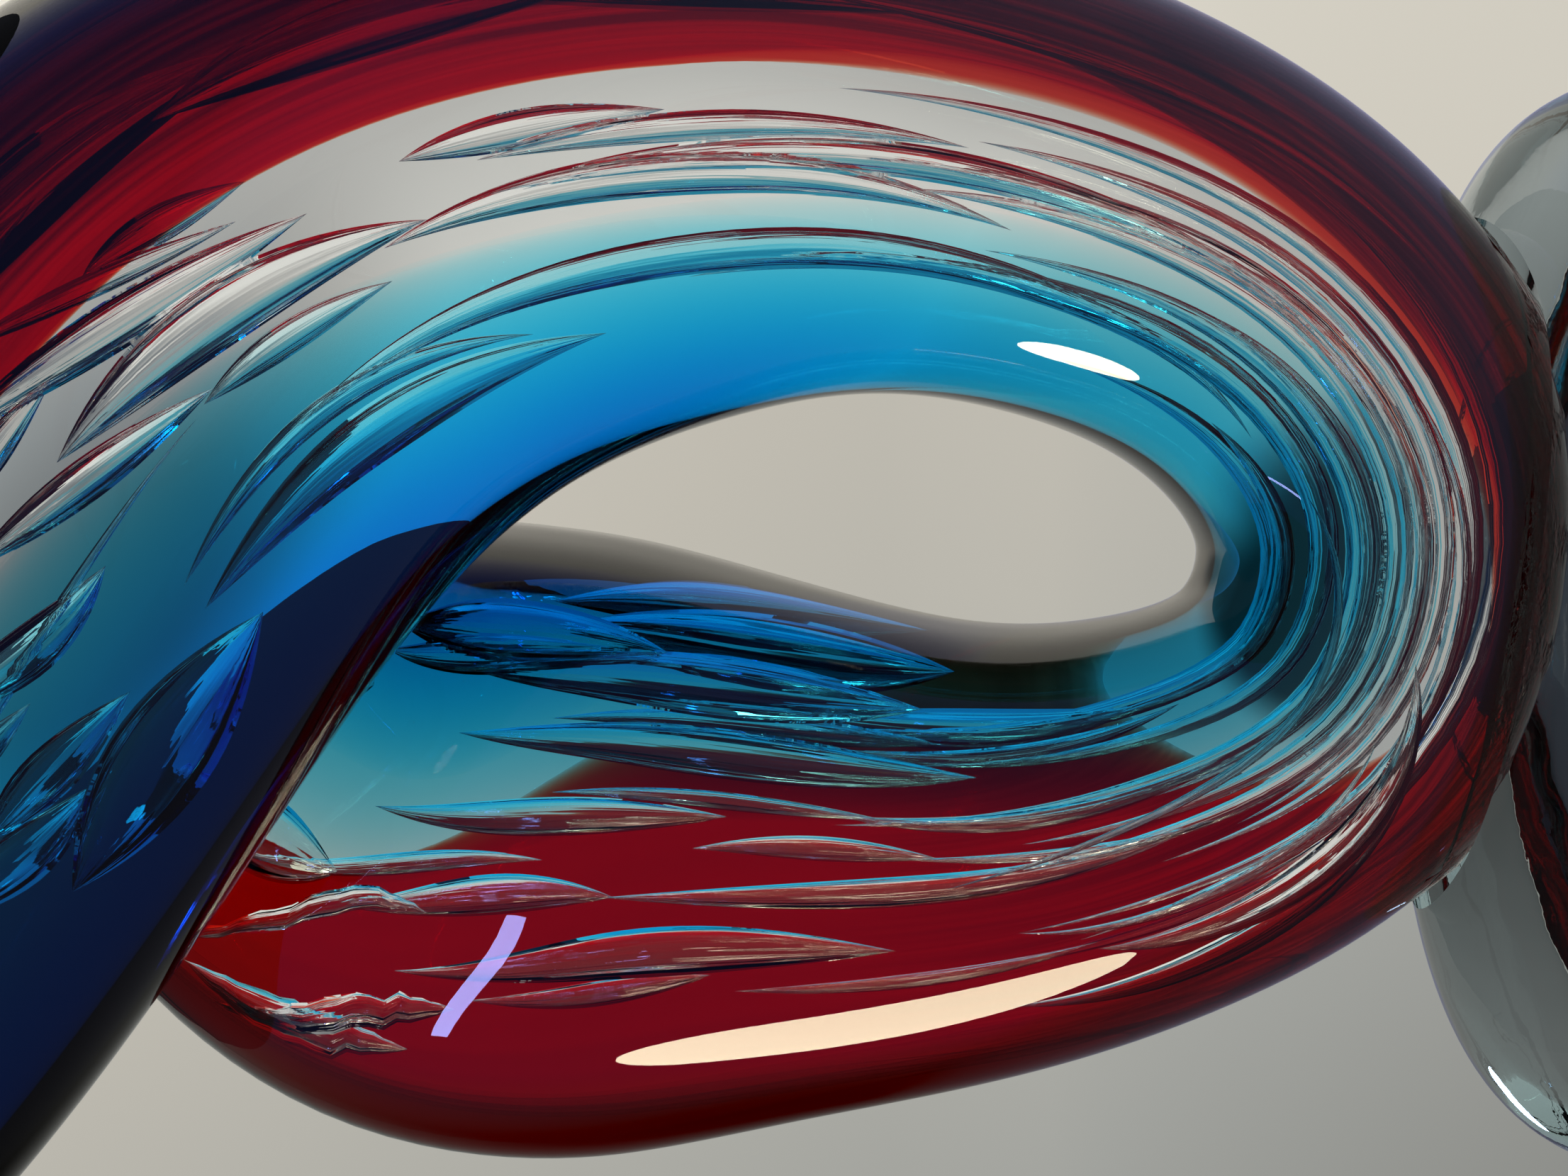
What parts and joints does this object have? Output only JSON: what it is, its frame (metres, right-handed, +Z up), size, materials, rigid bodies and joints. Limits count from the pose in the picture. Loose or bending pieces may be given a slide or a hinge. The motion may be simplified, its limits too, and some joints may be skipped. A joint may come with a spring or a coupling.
{
  "type": "glass sculpture",
  "caption": "Standing cased-glass ribbon loop with crossing tails, ruby outer side, aqua inner side and trapped spindle bubbles, fused to a clear glass base.",
  "frame": {"origin": "centre of the base's ground underside, where the sculpture stands", "axes": "+Z up, +X to the right and -Y towards the front, where the front tail crosses before the rear tail"},
  "size_m": [0.2036, 0.1322, 0.3348],
  "materials": {
    "core_glass": "fire polished",
    "ruby_glass": "fire polished",
    "cover_glass": "fire polished",
    "aqua_glass": "fire polished",
    "base_glass": "fire polished, ground underside",
    "seam_glass": "finely crazed seam"
  },
  "bodies": {
    "root": {"clear_core": "core_glass", "ruby_overlay": "ruby_glass", "rear_cover": "cover_glass", "aqua_overlay": "aqua_glass", "front_cover": "cover_glass", "clear_base": "base_glass", "fused_seam": "seam_glass"}
  },
  "joints": []
}
